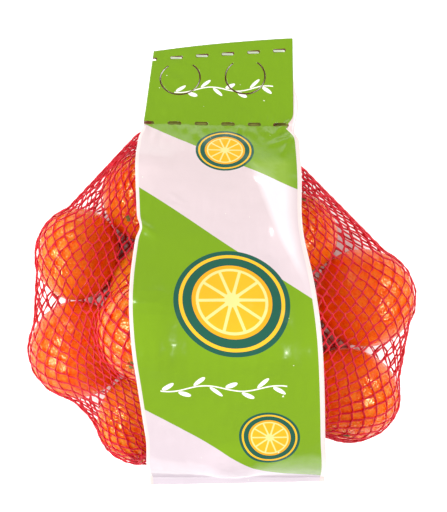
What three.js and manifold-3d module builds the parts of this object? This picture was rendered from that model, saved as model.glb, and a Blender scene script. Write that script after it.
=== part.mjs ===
// A net of clementines lying on its back: millimetres, +Z up, the header toward +Y.
import * as THREE from 'three';
import { mergeVertices } from 'three/addons/utils/BufferGeometryUtils.js';
import Module from 'manifold-3d';

const { clamp, degToRad, lerp, smoothstep } = THREE.MathUtils;
const wasm = await Module();
wasm.setup();

// Driving dimensions
const FRUIT_RADIUS = 29; // equator of a clementine
const POLE_SHARE = 0.88; // half height of a clementine against its equator
const NET_LIFT = 0.6; // net surface off the peel
const LENGTHWISE = 0.7; // share of the net's pull that runs along the bag
const NET_OVER_FILM = 0.7; // net surface off the middle of the back film
const FILM = 0.5; // thickness of one film strip
const FILM_LIFT = 1.2; // middle of the front film off the net
const FILM_ACROSS = 0.5; // share of the front film's stiffness that runs across it
const FILM_HALF = 50.2; // half width of the strips along the bag
const HEADER_HALF = 46.4; // half width at the top of the header
const WELD_HALF = 48; // half width at the weld below the finger cuts
const WELD = { x: -2.6, y: 84, z: 24, tilt: 0.104 }; // the weld falls toward +X by tilt a millimetre
const WIDEN = 12; // length below the weld over which the strips reach their full width
const HEADER = { length: 61.5, skew: 1.7, crown: 1, lean: 2.3 }; // film above the weld, longer toward +X
const HEADER_SLOPE = { middle: 20.5, twist: 6.5 }; // degrees down toward the table, steeper toward -X
const LAYER = 0.4; // each film's middle off the weld's middle
const SEAM = { y: -134.5, z: 48 };
const BACK_FLAT = [-111, 45]; // the back film lies on the table between these
const BACK_RISE = { weld: 1.15, seam: 3.6 }; // how late it turns up toward each end
const FLANGE = { length: 4.5, skew: -1.5, slope: 25 }; // film beyond the bottom seam
const DRIFT = { from: 10, blend: 15, slope: 0.083 }; // the strips lean toward +X below this place
const PINCH = { y: 18, depth: 3, spread: 24 }; // the front strip arches across here, so it covers less
const NECK = { left: -52, right: 28, y: 79, half: 1 }; // the net's flat end at the weld
const FOOT = { left: -36, right: 36, y: -130, half: 1 }; // the net's flat end at the seam
const FINGER = { x: [-28.4, 14.3], along: 35.8, radius: 13, open: 38, width: 0.9 };
const SLOT = { first: -48.4, pitch: 17.1, count: 6, length: 8, width: 2, rows: [0.5, 53] };
const MIDDLE = { x: -1.1, y: 2.7 }; // middle of the bag's outline, moved to the origin

// How the surfaces are divided and drawn tight
const NET_START = { wide: 110, above: 95, below: 40 }; // the slack net's room round the fruit
const NET_GRID = { rows: 41, columns: 74, rounds: 1500 };
const FILM_START = 130; // the front film sinks from this height
const FILM_MARGIN = { x: 2.5, y: 1.5 }; // it clears the net this far round each place
const FRONT_GRID = { header: 8, rows: 42, columns: 12, crowd: 1.35, rounds: 900 };
const BACK_GRID = { header: 6, rows: 24, columns: 6, crowd: 1.6 };
const PUNCH = { bottom: -10, depth: 60 }; // upright reach of the cuts through the header
// The net gives between the fruit: how far, at most what share of its height, and where it lies level
const DIP = { depth: 22, share: 0.34, steps: 12, level: [0.35, 0.8], ease: 0.6, rounds: 8 };
const FINGER_STEPS = 18;
const SLOT_STEPS = 3;

// Each clementine: centre, the way its stem end points, and its size against the others
const FRUIT = [
  { at: [-92, 2, 30.2], stem: [-0.95, 0.15, 0.25], size: 1 },
  { at: [-92, -59.5, 31], stem: [0.3, 0.2, -0.9], size: 1.055 },
  { at: [-47, 36.8, 31], stem: [-0.36, -0.7, 0.62], size: 1.03 },
  { at: [-41.2, -21.6, 28.6], stem: [0.4, 0.2, 0.9], size: 1.05 },
  { at: [-40.4, -43.3, 83], stem: [-0.32, -0.58, 0.75], size: 1.06 },
  { at: [-49, -101, 30], stem: [-0.4, 0.5, -0.8], size: 1 },
  { at: [43, 15, 31], stem: [0.3, 0.8, 0.5], size: 1 },
  { at: [88.8, -26.3, 30.4], stem: [0.2, 0.1, -0.95], size: 1.07 },
  { at: [78, -87, 32], stem: [-0.1, -0.85, 0.52], size: 1.09 },
  { at: [33, -50, 29], stem: [0.1, -0.3, 0.9], size: 0.98 },
  { at: [24, -42, 81], stem: [0.2, 0.5, 0.8], size: 1 },
  { at: [6, -99, 56], stem: [0.1, -0.6, -0.8], size: 1 },
].map(({ at, stem, size }) => ({
  at: new THREE.Vector3(...at),
  stem: new THREE.Vector3(...stem).normalize(),
  radius: FRUIT_RADIUS * size,
}));

// Where the taut net spans from one place to the next: its ends and how far it stands off their line
const SPANS = [
  [[NECK.left, NECK.y, 28], FRUIT[0].at, 1, 25],
  [FRUIT[0].at, FRUIT[1].at, 25, 27.5],
  [FRUIT[1].at, FRUIT[5].at, 24, 24],
  [[NECK.right, NECK.y, 20], FRUIT[7].at, 1, 30.5],
  [FRUIT[7].at, FRUIT[8].at, 30, 29.5],
].map(([from, to, fromReach, toReach]) => ({
  from: new THREE.Vector3(...from),
  run: new THREE.Vector3(...to).sub(new THREE.Vector3(...from)),
  reach: [fromReach, toReach],
}));

// A point's distance from a clementine's centre, where 1 is the peel grown by lift
function sizeIn({ at, stem, radius }, p, lift) {
  const off = p.clone().sub(at);
  const up = off.dot(stem);
  const across = off.addScaledVector(stem, -up).length();
  return Math.hypot(across / (radius + lift), up / (radius * POLE_SHARE + lift));
}

// Push a point out of every clementine grown by lift
function clearOfFruit(p, lift) {
  for (const fruit of FRUIT) {
    const size = sizeIn(fruit, p, lift);
    if (size < 1) p.sub(fruit.at).divideScalar(Math.max(size, 0.05)).add(fruit.at);
  }
}

// How far a point can move any way before it meets a clementine grown by lift
function roomToFruit(p, lift) {
  const rooms = FRUIT.map((fruit) => (sizeIn(fruit, p, lift) - 1) * (fruit.radius * POLE_SHARE + lift));
  return Math.max(Math.min(...rooms), 0);
}

// Push a point out of the round spans the net is drawn over
function clearOfSpans(p) {
  const off = new THREE.Vector3();
  for (const { from, run, reach } of SPANS) {
    off.subVectors(p, from);
    const t = clamp(off.dot(run) / run.lengthSq(), 0, 1);
    off.addScaledVector(run, -t);
    const short = lerp(reach[0], reach[1], t) - off.length();
    if (short > 0) p.addScaledVector(off.normalize(), short);
  }
}

// Upward normals of a film's grid
function gridNormals(grid) {
  const rows = grid.length;
  const columns = grid[0].length;
  return grid.map((row, i) => row.map((p, j) => {
    const across = row[Math.min(j + 1, columns - 1)].clone().sub(row[Math.max(j - 1, 0)]);
    const along = grid[Math.max(i - 1, 0)][j].clone().sub(grid[Math.min(i + 1, rows - 1)][j]);
    return across.cross(along).normalize();
  }));
}

// Place across the bag at y of the strip's share s, from -1 to 1
function planX(y, s) {
  const below = DRIFT.from - y;
  const drift = (DRIFT.slope * (below + Math.hypot(below, DRIFT.blend))) / 2;
  const half = lerp(WELD_HALF, FILM_HALF, smoothstep(WELD.y - y, 0, WIDEN));
  const arched = PINCH.depth * Math.exp(-(((y - PINCH.y) / PINCH.spread) ** 2));
  return WELD.x + drift + s * (half - arched);
}

// Middle of the back film: flat on the table, curved up to the weld and to the seam
function backLevel(x, y) {
  const weld = WELD.z - WELD.tilt * (x - WELD.x) - LAYER;
  const [low, high] = BACK_FLAT;
  const up = clamp((y - high) / (WELD.y - high), 0, 1);
  const down = clamp((low - y) / (low - SEAM.y), 0, 1);
  const toWeld = (weld - FILM / 2) * up ** BACK_RISE.weld;
  const toSeam = (SEAM.z - LAYER - FILM / 2) * down ** BACK_RISE.seam;
  return FILM / 2 + toWeld + toSeam;
}

// The sleeve of net: rows from the bottom seam to the weld, drawn tight over the fruit
function tautNet({ rows, columns, rounds }) {
  const grid = [];
  for (let i = 0; i <= rows; i += 1) {
    const t = i / rows;
    const swell = Math.sin(Math.PI * t);
    const end = t < 0.5 ? FOOT : NECK;
    const middle = lerp(FOOT.left + FOOT.right, NECK.left + NECK.right, t) / 2;
    const half = (end.right - end.left) / 2;
    const row = [];
    for (let j = 0; j < columns; j += 1) {
      const a = (2 * Math.PI * j) / columns;
      const x = middle + (half + NET_START.wide * swell) * Math.cos(a);
      const flat = t < 0.5 ? SEAM.z : WELD.z - WELD.tilt * (x - WELD.x);
      const tall = Math.sin(a) > 0 ? NET_START.above : NET_START.below;
      const z = lerp(flat, FRUIT_RADIUS, swell) + (end.half + tall * swell) * Math.sin(a);
      row.push(new THREE.Vector3(x, lerp(FOOT.y, NECK.y, t), z));
    }
    grid.push(row);
  }
  for (let k = 0; k < rounds; k += 1) {
    for (let i = 1; i < rows; i += 1) {
      for (let j = 0; j < columns; j += 1) {
        const p = grid[i][j].copy(grid[i - 1][j]).add(grid[i + 1][j]);
        p.multiplyScalar(LENGTHWISE / 2);
        p.addScaledVector(grid[i][(j + columns - 1) % columns], (1 - LENGTHWISE) / 2);
        p.addScaledVector(grid[i][(j + 1) % columns], (1 - LENGTHWISE) / 2);
        clearOfFruit(p, NET_LIFT);
        clearOfSpans(p);
        p.z = Math.max(p.z, backLevel(p.x, p.y) + NET_OVER_FILM);
      }
    }
  }
  return grid;
}

// The net gives between the fruit: its upper and lower faces sink along their normals toward the peel
function dippedNet(grid) {
  const rows = grid.length;
  const columns = grid[0].length;
  const dipped = grid.map((row, i) => row.map((p, j) => {
    const sunk = p.clone();
    if (i === 0 || i === rows - 1) return sunk;
    const across = row[(j + 1) % columns].clone().sub(row[(j + columns - 1) % columns]);
    const along = grid[i + 1][j].clone().sub(grid[i - 1][j]);
    const outward = along.cross(across).normalize();
    const height = Math.abs(p.z - row[(columns - j) % columns].z);
    const level = smoothstep(Math.abs(outward.z), ...DIP.level);
    let rest = level * Math.min(DIP.depth, DIP.share * height);
    for (let k = 0; k < DIP.steps; k += 1) {
      const step = Math.min(rest, roomToFruit(sunk, NET_LIFT));
      sunk.addScaledVector(outward, -step);
      rest -= step;
    }
    return sunk;
  }));
  for (let k = 0; k < DIP.rounds; k += 1) {
    for (let i = 1; i + 1 < rows; i += 1) {
      for (let j = 0; j < columns; j += 1) {
        const p = dipped[i][j];
        const mean = dipped[i][(j + 1) % columns].clone().add(dipped[i][(j + columns - 1) % columns]);
        mean.add(dipped[i - 1][j]).add(dipped[i + 1][j]).divideScalar(4);
        const moved = p.clone().lerp(mean, DIP.ease);
        clearOfFruit(moved, NET_LIFT);
        if (p.distanceTo(grid[i][j]) > NET_LIFT) p.copy(moved);
      }
    }
  }
  return dipped;
}

// The header past the weld: along is the distance up it, s runs from -1 to 1 across
function headerPoint(s, along) {
  const share = along / HEADER.length;
  const slope = degToRad(HEADER_SLOPE.middle - HEADER_SLOPE.twist * s);
  const x = WELD.x + HEADER.lean * share + s * lerp(WELD_HALF, HEADER_HALF, share);
  const z = WELD.z - WELD.tilt * WELD_HALF * s - along * Math.sin(slope);
  return new THREE.Vector3(x, WELD.y + along * Math.cos(slope), z);
}

// The flange past the bottom seam, placed the same way
function flangePoint(s, along) {
  const slope = degToRad(FLANGE.slope);
  const out = along * Math.cos(slope);
  const down = along * Math.sin(slope);
  return new THREE.Vector3(planX(SEAM.y, s), SEAM.y - out, SEAM.z - down);
}

// Rows of a film strip from the top of the header to the flange; layer is 1 in front and -1 at the back
function filmRows(layer, { header, rows, columns, crowd }, level) {
  const across = Array.from({ length: columns + 1 }, (_, j) => (2 * j) / columns - 1);
  const lift = new THREE.Vector3(0, 0, layer * LAYER);
  const grid = [];
  for (let i = 0; i < header; i += 1) {
    const share = 1 - i / header;
    const along = (s) => HEADER.length + HEADER.skew * s + HEADER.crown * (1 - s * s);
    grid.push(across.map((s) => headerPoint(s, along(s) * share).add(lift)));
  }
  for (const y of spanPlaces(rows, crowd)) {
    grid.push(across.map((s) => new THREE.Vector3(planX(y, s), y, level(planX(y, s), y))));
  }
  for (const share of [0.5, 1]) {
    grid.push(across.map((s) => flangePoint(s, (FLANGE.length + FLANGE.skew * s) * share).add(lift)));
  }
  return grid;
}

// Places along the bag from the weld to the seam, closer together toward the seam
function spanPlaces(rows, crowd) {
  return Array.from({ length: rows + 1 }, (_, i) => lerp(WELD.y, SEAM.y, 1 - (1 - i / rows) ** crowd));
}

// Height of the top of a grid surface over a place, or -Infinity beside it
function topOver(grid, x, y) {
  const columns = grid[0].length;
  let top = -Infinity;
  const triangle = (a, b, c) => {
    const det = (b.x - a.x) * (c.y - a.y) - (c.x - a.x) * (b.y - a.y);
    if (Math.abs(det) < 1e-6) return;
    const u = ((x - a.x) * (c.y - a.y) - (c.x - a.x) * (y - a.y)) / det;
    const v = ((b.x - a.x) * (y - a.y) - (x - a.x) * (b.y - a.y)) / det;
    if (u >= 0 && v >= 0 && u + v <= 1) top = Math.max(top, a.z + u * (b.z - a.z) + v * (c.z - a.z));
  };
  for (let i = 0; i + 1 < grid.length; i += 1) {
    for (let j = 0; j < columns; j += 1) {
      const k = (j + 1) % columns;
      triangle(grid[i][j], grid[i][k], grid[i + 1][k]);
      triangle(grid[i][j], grid[i + 1][k], grid[i + 1][j]);
    }
  }
  return top;
}

// The front film starts high and sinks until it is taut over the net
function frontFilm(layout, net) {
  const { header: first, rows, columns, rounds } = layout;
  const grid = filmRows(1, layout, () => FILM_START);
  const last = first + rows;
  for (let j = 0; j <= columns; j += 1) {
    grid[first][j].z = headerPoint((2 * j) / columns - 1, 0).z + LAYER;
    grid[last][j].z = SEAM.z + LAYER;
  }
  const { x: dx, y: dy } = FILM_MARGIN;
  const rest = grid.map((row) => row.map(({ x, y }) => FILM_LIFT + Math.max(
    topOver(net, x, y),
    topOver(net, x + dx, y),
    topOver(net, x - dx, y),
    topOver(net, x, y + dy),
    topOver(net, x, y - dy),
  )));
  for (let k = 0; k < rounds; k += 1) {
    for (let i = first + 1; i < last; i += 1) {
      for (let j = 0; j <= columns; j += 1) {
        const p = grid[i][j];
        const before = grid[i - 1][j];
        const after = grid[i + 1][j];
        const along = lerp(before.z, after.z, (before.y - p.y) / (before.y - after.y));
        const beside = (grid[i][Math.max(j - 1, 0)].z + grid[i][Math.min(j + 1, columns)].z) / 2;
        p.z = Math.max(lerp(along, beside, FILM_ACROSS), rest[i][j]);
      }
    }
  }
  return grid;
}

// Closed solids from grids
function solidOf(vertices, triangles) {
  const mesh = new wasm.Mesh({
    numProp: 3,
    vertProperties: new Float32Array(vertices.flatMap((p) => [p.x, p.y, p.z])),
    triVerts: new Uint32Array(triangles.flat()),
  });
  mesh.merge();
  return new wasm.Manifold(mesh);
}

function netSolid(grid) {
  const rows = grid.length;
  const columns = grid[0].length;
  const vertices = grid.flat();
  const triangles = [];
  for (let i = 0; i + 1 < rows; i += 1) {
    for (let j = 0; j < columns; j += 1) {
      const a = i * columns + j;
      const b = i * columns + ((j + 1) % columns);
      triangles.push([a, b, b + columns], [a, b + columns, a + columns]);
    }
  }
  for (const i of [0, rows - 1]) {
    const middle = new THREE.Vector3();
    for (const p of grid[i]) middle.addScaledVector(p, 1 / columns);
    vertices.push(middle);
    const centre = vertices.length - 1;
    for (let j = 0; j < columns; j += 1) {
      const a = i * columns + j;
      const b = i * columns + ((j + 1) % columns);
      triangles.push(i === 0 ? [b, a, centre] : [a, b, centre]);
    }
  }
  return solidOf(vertices, triangles.map(([a, b, c]) => [a, c, b]));
}

function filmSolid(grid) {
  const rows = grid.length;
  const columns = grid[0].length;
  const normals = gridNormals(grid);
  const skin = (share) => grid.flatMap((row, i) => row.map(
    (p, j) => p.clone().addScaledVector(normals[i][j], share * FILM),
  ));
  const top = skin(0.5);
  const bottom = skin(-0.5);
  const under = top.length;
  const triangles = [];
  const quad = (a, b, c, d) => triangles.push([a, c, b], [a, d, c]);
  for (let i = 0; i + 1 < rows; i += 1) {
    for (let j = 0; j + 1 < columns; j += 1) {
      const a = i * columns + j;
      quad(a, a + 1, a + 1 + columns, a + columns);
      quad(under + a, under + a + columns, under + a + 1 + columns, under + a + 1);
    }
  }
  const rim = [];
  for (let j = 0; j < columns; j += 1) rim.push(j);
  for (let i = 1; i < rows; i += 1) rim.push(i * columns + columns - 1);
  for (let j = columns - 2; j >= 0; j -= 1) rim.push((rows - 1) * columns + j);
  for (let i = rows - 2; i > 0; i -= 1) rim.push(i * columns);
  rim.forEach((a, k) => {
    const b = rim[(k + 1) % rim.length];
    quad(a, under + a, under + b, b);
  });
  return solidOf([...top, ...bottom], triangles);
}

// Upright prism through both films, from a closed outline seen from above
function upright(outline) {
  const shape = new THREE.Shape(outline);
  const solid = new THREE.ExtrudeGeometry(shape, { depth: PUNCH.depth, bevelEnabled: false, steps: 1 });
  solid.translate(0, 0, PUNCH.bottom);
  solid.deleteAttribute('normal');
  solid.deleteAttribute('uv');
  const merged = mergeVertices(solid, 1e-4);
  const vertices = [];
  for (let k = 0; k < merged.attributes.position.count; k += 1) {
    vertices.push(new THREE.Vector3().fromBufferAttribute(merged.attributes.position, k));
  }
  const index = Array.from(merged.index.array);
  const triangles = [];
  for (let k = 0; k < index.length; k += 3) triangles.push(index.slice(k, k + 3));
  return solidOf(vertices, triangles);
}

// Share across the header of a place on it
function acrossAt(x, along) {
  const left = headerPoint(-1, along).x;
  return (2 * (x - left)) / (headerPoint(1, along).x - left) - 1;
}

// A round finger cut whose flap stays joined at the top
function fingerCut(x) {
  const steps = FINGER_STEPS;
  const outline = [];
  const arc = (radius, k) => {
    const a = degToRad(90 + FINGER.open + ((360 - 2 * FINGER.open) * k) / steps);
    const along = FINGER.along + radius * Math.sin(a);
    const across = x + radius * Math.cos(a);
    return new THREE.Vector2(across, headerPoint(acrossAt(across, along), along).y);
  };
  for (let k = 0; k <= steps; k += 1) outline.push(arc(FINGER.radius + FINGER.width / 2, k));
  for (let k = steps; k >= 0; k -= 1) outline.push(arc(FINGER.radius - FINGER.width / 2, k));
  return upright(outline);
}

// A punched slot with round ends
function slotCut(x, along) {
  const outline = [];
  const y = headerPoint(acrossAt(x, along), along).y;
  const straight = (SLOT.length - SLOT.width) / 2;
  for (const side of [1, -1]) {
    for (let k = 0; k <= SLOT_STEPS; k += 1) {
      const a = (Math.PI * k) / SLOT_STEPS - Math.PI / 2;
      const across = side * (straight + (SLOT.width / 2) * Math.cos(a));
      outline.push(new THREE.Vector2(x + across, y + side * (SLOT.width / 2) * Math.sin(a)));
    }
  }
  return upright(outline);
}

function meshOf(name, solid, colour) {
  const { vertProperties, triVerts, numProp } = solid.getMesh();
  const geometry = new THREE.BufferGeometry();
  const position = new Float32Array((vertProperties.length / numProp) * 3);
  for (let k = 0; k < position.length; k += 1) {
    position[k] = vertProperties[Math.floor(k / 3) * numProp + (k % 3)];
  }
  geometry.setAttribute('position', new THREE.BufferAttribute(position, 3));
  geometry.setIndex(new THREE.BufferAttribute(new Uint32Array(triVerts), 1));
  geometry.translate(-MIDDLE.x, -MIDDLE.y, 0);
  const mesh = new THREE.Mesh(
    mergeVertices(geometry, 1e-5),
    new THREE.MeshStandardMaterial({ color: colour, roughness: 0.5 }),
  );
  mesh.name = name;
  return mesh;
}

const net = tautNet(NET_GRID);
const cuts = [
  ...FINGER.x.map(fingerCut),
  ...SLOT.rows.flatMap((along) => Array.from(
    { length: SLOT.count },
    (_, k) => slotCut(SLOT.first + SLOT.pitch * k, along),
  )),
];
const cutAll = (solid) => cuts.reduce((rest, cut) => rest.subtract(cut), solid);
const front = cutAll(filmSolid(frontFilm(FRONT_GRID, net)));
const back = cutAll(filmSolid(filmRows(-1, BACK_GRID, backLevel)));

const group = new THREE.Group();
group.name = 'net_of_clementines';
group.add(meshOf('net_bag', netSolid(dippedNet(net)), 0xe0532c));
group.add(meshOf('film_front', front, 0x94bd24));
group.add(meshOf('film_back', back, 0x94bd24));

export default group;
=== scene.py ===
"""A net of clementines lying on its back: single fruit, a knitted strand net and printed film strips.

Lengths are millimetres in the bag's own plan, whose zero is MIDDLE away from the frame's origin, and meshes
are written in metres. The camera looks straight down on the printed front.
"""

import math

import bpy
import numpy as np
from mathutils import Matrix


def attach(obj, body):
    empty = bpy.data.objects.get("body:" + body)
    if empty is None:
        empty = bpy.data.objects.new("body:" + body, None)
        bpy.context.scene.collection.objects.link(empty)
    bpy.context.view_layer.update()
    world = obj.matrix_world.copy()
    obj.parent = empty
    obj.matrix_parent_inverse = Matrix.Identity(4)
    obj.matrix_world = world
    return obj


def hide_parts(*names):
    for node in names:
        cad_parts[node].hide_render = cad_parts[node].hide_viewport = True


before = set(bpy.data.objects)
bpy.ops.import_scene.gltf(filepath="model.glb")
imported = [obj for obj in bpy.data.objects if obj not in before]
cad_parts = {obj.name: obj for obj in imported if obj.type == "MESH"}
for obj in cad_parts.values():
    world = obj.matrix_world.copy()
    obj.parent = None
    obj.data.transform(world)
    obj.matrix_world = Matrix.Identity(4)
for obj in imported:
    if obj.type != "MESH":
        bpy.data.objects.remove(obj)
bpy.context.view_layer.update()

# The bag's plan, as its solids have it
MM = 0.001
MIDDLE = np.array([-1.1, 2.7, 0.0])
FRUIT_RADIUS = 29.0
POLE_SHARE = 0.88
FILM_HALF = 50.2
HEADER_HALF = 46.4
WELD_HALF = 48.0
WELD_X, WELD_Y, WELD_Z, WELD_TILT = -2.6, 84.0, 24.0, 0.104
WIDEN = 12.0
HEADER_LENGTH, HEADER_SKEW, HEADER_CROWN, HEADER_LEAN = 61.5, 1.7, 1.0, 2.3
HEADER_SLOPE, HEADER_TWIST = 20.5, 6.5
LAYER = 0.4
SEAM_Y, SEAM_Z = -134.5, 48.0
BACK_FLAT_LOW, BACK_FLAT_HIGH = -111.0, 45.0
BACK_RISE_WELD, BACK_RISE_SEAM = 1.15, 3.6
BACK_LEVEL = 0.25
FLANGE_LENGTH, FLANGE_SKEW, FLANGE_SLOPE = 4.5, -1.5, 25.0
DRIFT_FROM, DRIFT_BLEND, DRIFT_SLOPE = 10.0, 15.0, 0.083
PINCH_Y, PINCH_DEPTH, PINCH_SPREAD = 18.0, 3.0, 24.0
FLARE_FROM, FLARE_WIDE, FLARE_SHIFT = -100.0, 3.0, -1.2
NECK_LEFT, NECK_RIGHT, NECK_Y = -52.0, 28.0, 79.0
FOOT_LEFT, FOOT_RIGHT, FOOT_Y = -37.0, 42.0, -130.0
END_HALF = 1.0
FINGER_X, FINGER_ALONG, FINGER_RADIUS = (-28.4, 14.3), 35.8, 13.0
FINGER_OPEN, FINGER_WIDTH = 38.0, 0.4
SLOT_FIRST, SLOT_PITCH, SLOT_COUNT, SLOT_LENGTH, SLOT_WIDTH = -48.4, 17.1, 6, 8.0, 2.0
SLOT_X = [SLOT_FIRST + SLOT_PITCH * k for k in range(SLOT_COUNT)]

# Rows of slots: height above the weld, and how much that grows across
SLOT_ROWS = ((0.5, 0.0), (53.6, 0.022))

# Each clementine: centre, the way its stem end points, size against the others, number of its peel (0
# deeper, 1 paler: partly the fruit's own colour, partly painted light and shade set against how the lamps
# light it)
FRUIT = (
    ((-92, 1.2, 30.2), (-0.95, 0.15, 0.25), 1.0, 1),
    ((-92, -58.7, 31), (0.3, 0.2, -0.9), 1.055, 0),
    ((-47, 36.8, 31), (-0.41, -0.57, 0.71), 1.03, 0),
    ((-41.2, -21.6, 28.6), (0.4, 0.2, 0.9), 1.05, 1),
    ((-40.4, -43.3, 83), (-0.32, -0.58, 0.75), 1.06, 0),
    ((-49.4, -101.6, 30), (-0.4, 0.5, -0.8), 1.03, 1),
    ((43, 15, 31), (0.3, 0.8, 0.5), 1.0, 0),
    ((88.8, -26.3, 30.4), (0.2, 0.1, -0.95), 1.07, 0),
    ((78, -87, 32), (-0.1, -0.85, 0.52), 1.09, 0),
    ((33, -50, 29), (0.1, -0.3, 0.9), 0.98, 0),
    ((24, -42, 81), (0.2, 0.5, 0.8), 1.0, 1),
    ((6, -99, 56), (0.1, -0.6, -0.8), 1.0, 0),
)


def unit(v):
    """Directions: vectors divided by their length."""
    return v / np.maximum(np.linalg.norm(v, axis=-1, keepdims=True), 1e-9)


CENTRES = np.array([row[0] for row in FRUIT], float)
STEMS = unit(np.array([row[1] for row in FRUIT], float))
RADII = FRUIT_RADIUS * np.array([row[2] for row in FRUIT])

# Where the taut net spans from one place to the next: its ends and how far it stands off their line
SPANS = (
    ((NECK_LEFT, NECK_Y, 28), CENTRES[0], 1, 25),
    (CENTRES[0], CENTRES[1], 25, 27.5),
    (CENTRES[1], CENTRES[5], 24, 24),
    ((NECK_RIGHT, NECK_Y, 20), CENTRES[7], 1, 30.5),
    (CENTRES[7], CENTRES[8], 30, 29.5),
)

# The net: a grid for its shape, and a panel of knots for each side that slides into place on it
NET_LIFT = 0.85
NET_OVER_BACK = 0.8
LENGTHWISE = 0.35
SLACK_WIDE, SLACK_ABOVE, SLACK_BELOW = 110.0, 95.0, 40.0
NET_GRID = (41, 74)
NET_ROUNDS = (2600, 120, 60)
STRAND_LENGTH, STRAND_SPREAD = 7.0, 0.12
CELL_WIDE, CELL_LONG, CELL_NECK = 7.8, 11.6, 2.6
NECK_SHARE = 0.45
PANEL_COLUMNS, PANEL_PHASE = (-10, 18), 0.2
PANEL_ROWS = 55
PANEL_HELD = 2
PANEL_ROUNDS = 1200
STIFF_CELL, STIFF_BEND, SLIDE = 0.3, 0.1, 0.35
SLIDE_MOST = (0.01, 0.02)
STRAND_STEPS = 6
STRAND_SIDES = 5
FILAMENT_RADIUS = 0.33
FILAMENT_APART, FILAMENT_STACK, WEAVE = 0.35, 0.18, 0.18
KNOT_LONG, KNOT_WIDE, KNOT_HIGH = 1.3, 0.8, 0.65
KNOT_GRID = (6, 8)
KNOT_STEP = 0.1
CELL_ROUNDING = 0.65
UNSEEN_MARGIN, UNSEEN_LEVEL = 9.0, 0.25
NET_SEED = 7

# The film strips
FILM_THICK = 0.14
FILM_LIFT = 1.15
FILM_ACROSS = 0.5
FILM_START = 130.0
SPAN_GRID = (42, 12)
SPAN_ROUNDS = (2500, 500, 250, 60)
SPAN_CROWD = 1.35
HEADER_ROWS, FLANGE_ROWS = 88, 8
BACK_GRID = (150, 48)
TOP_CELL, TOP_MARGIN = 2.0, 3
NO_TOP = -1000.0


def lerp(a, b, t):
    """From a to b in a straight line as t goes from 0 to 1."""
    return a + (b - a) * t


def smooth(t):
    """From 0 to 1 as t does, level at both ends."""
    t = np.clip(t, 0, 1)
    return t * t * (3 - 2 * t)


def bell(value, middle, spread):
    """A bell curve: 1 at its middle, falling off over its spread."""
    return np.exp(-(((value - middle) / spread) ** 2))


def waves(points, length, count, seed):
    """Even noise of about unit strength: plane waves of one length in random directions, summed."""
    rng = np.random.default_rng(seed)
    ways = unit(rng.normal(size=(count, points.shape[-1])))
    starts = rng.uniform(0, 2 * np.pi, count)
    total = np.zeros(points.shape[:-1])
    for way, start in zip(ways, starts):
        total += np.cos(points @ way * (2 * np.pi / length) + start)
    return total * math.sqrt(2 / count)


# Meshes from arrays
def make_piece(name, points, quads, triangles, materials, numbers=None, uv=None):
    """A mesh object at the origin from points in the bag's plan; uv gives each point its place on a map."""
    mesh = bpy.data.meshes.new(name)
    corners = np.concatenate([quads.ravel(), triangles.ravel()]).astype(np.int32)
    sizes = np.concatenate([np.full(len(quads), 4), np.full(len(triangles), 3)])
    starts = np.concatenate([[0], np.cumsum(sizes)[:-1]]).astype(np.int32)
    mesh.vertices.add(len(points))
    mesh.vertices.foreach_set("co", ((points - MIDDLE) * MM).astype(np.float32).ravel())
    mesh.loops.add(len(corners))
    mesh.loops.foreach_set("vertex_index", corners)
    mesh.polygons.add(len(sizes))
    mesh.polygons.foreach_set("loop_start", starts)
    for material in materials:
        mesh.materials.append(material)
    if numbers is not None:
        mesh.polygons.foreach_set("material_index", numbers.astype(np.int32))
    mesh.update(calc_edges=True)
    if uv is not None:
        layer = mesh.uv_layers.new(name="print")
        layer.data.foreach_set("uv", uv[corners].astype(np.float32).ravel())
    mesh.shade_smooth()
    piece = bpy.data.objects.new(name, mesh)
    bpy.context.scene.collection.objects.link(piece)
    return piece


def dress(piece, node):
    """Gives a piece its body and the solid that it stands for."""
    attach(piece, "root")
    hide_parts(node)


def grid_quads(index, wrap):
    """Faces between neighbouring rows of an array of point numbers, round it where wrap is set."""
    if wrap:
        index = np.concatenate([index, index[:, :1]], axis=1)
    around = (index[:-1, :-1], index[:-1, 1:], index[1:, 1:], index[1:, :-1])
    return np.stack(around, axis=-1).reshape(-1, 4)


def round_shell(rings, first, last):
    """A closed shell of rings of points from a first pole to a last one, as points, quads and triangles."""
    count, columns = rings.shape[:2]
    index = np.arange(count * columns).reshape(count, columns)
    after = np.roll(index, -1, axis=1)
    pole = np.full(columns, count * columns)
    top = np.stack([pole, after[0], index[0]], axis=-1)
    bottom = np.stack([pole + 1, index[-1], after[-1]], axis=-1)
    points = np.concatenate([rings.reshape(-1, 3), first[None], last[None]])
    return points, grid_quads(index, True), np.concatenate([top, bottom])


def ball_angles(rows, columns):
    """Angles from the pole and round it for the rings of a ball, without its poles."""
    polar = np.pi * np.arange(1, rows) / rows
    turn = 2 * np.pi * np.arange(columns) / columns
    return np.meshgrid(polar, turn, indexing="ij")


def only_used(points, quads, triangles):
    """The points that some face uses, with the faces numbered to match."""
    used, back = np.unique(np.concatenate([quads.ravel(), triangles.ravel()]), return_inverse=True)
    return points[used], back[: quads.size].reshape(-1, 4), back[quads.size :].reshape(-1, 3)


# Where the fruit, the back film and the net lie
def clear_of_fruit(points, lift):
    """A point inside a clementine grown by lift moves straight away from its centre onto its surface."""
    for centre, stem, radius in zip(CENTRES, STEMS, RADII):
        off = points - centre
        up = off @ stem
        across = np.sqrt(np.maximum((off**2).sum(-1) - up**2, 0))
        size = np.hypot(across / (radius + lift), up / (radius * POLE_SHARE + lift))
        grow = np.where(size < 1, 1 / np.maximum(size, 0.05), 1)
        points = centre + off * grow[..., None]
    return points


def clear_of_spans(points):
    """A point nearer to a span's line than the net stands off it there moves out to that distance."""
    for start, end, near, far in SPANS:
        start = np.asarray(start, float)
        run = np.asarray(end, float) - start
        t = np.clip((points - start) @ run / (run @ run), 0, 1)
        off = points - start - t[..., None] * run
        gap = np.linalg.norm(off, axis=-1)
        short = np.maximum(lerp(near, far, t) - gap, 0)
        points = points + off * (short / np.maximum(gap, 1e-6))[..., None]
    return points


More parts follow.
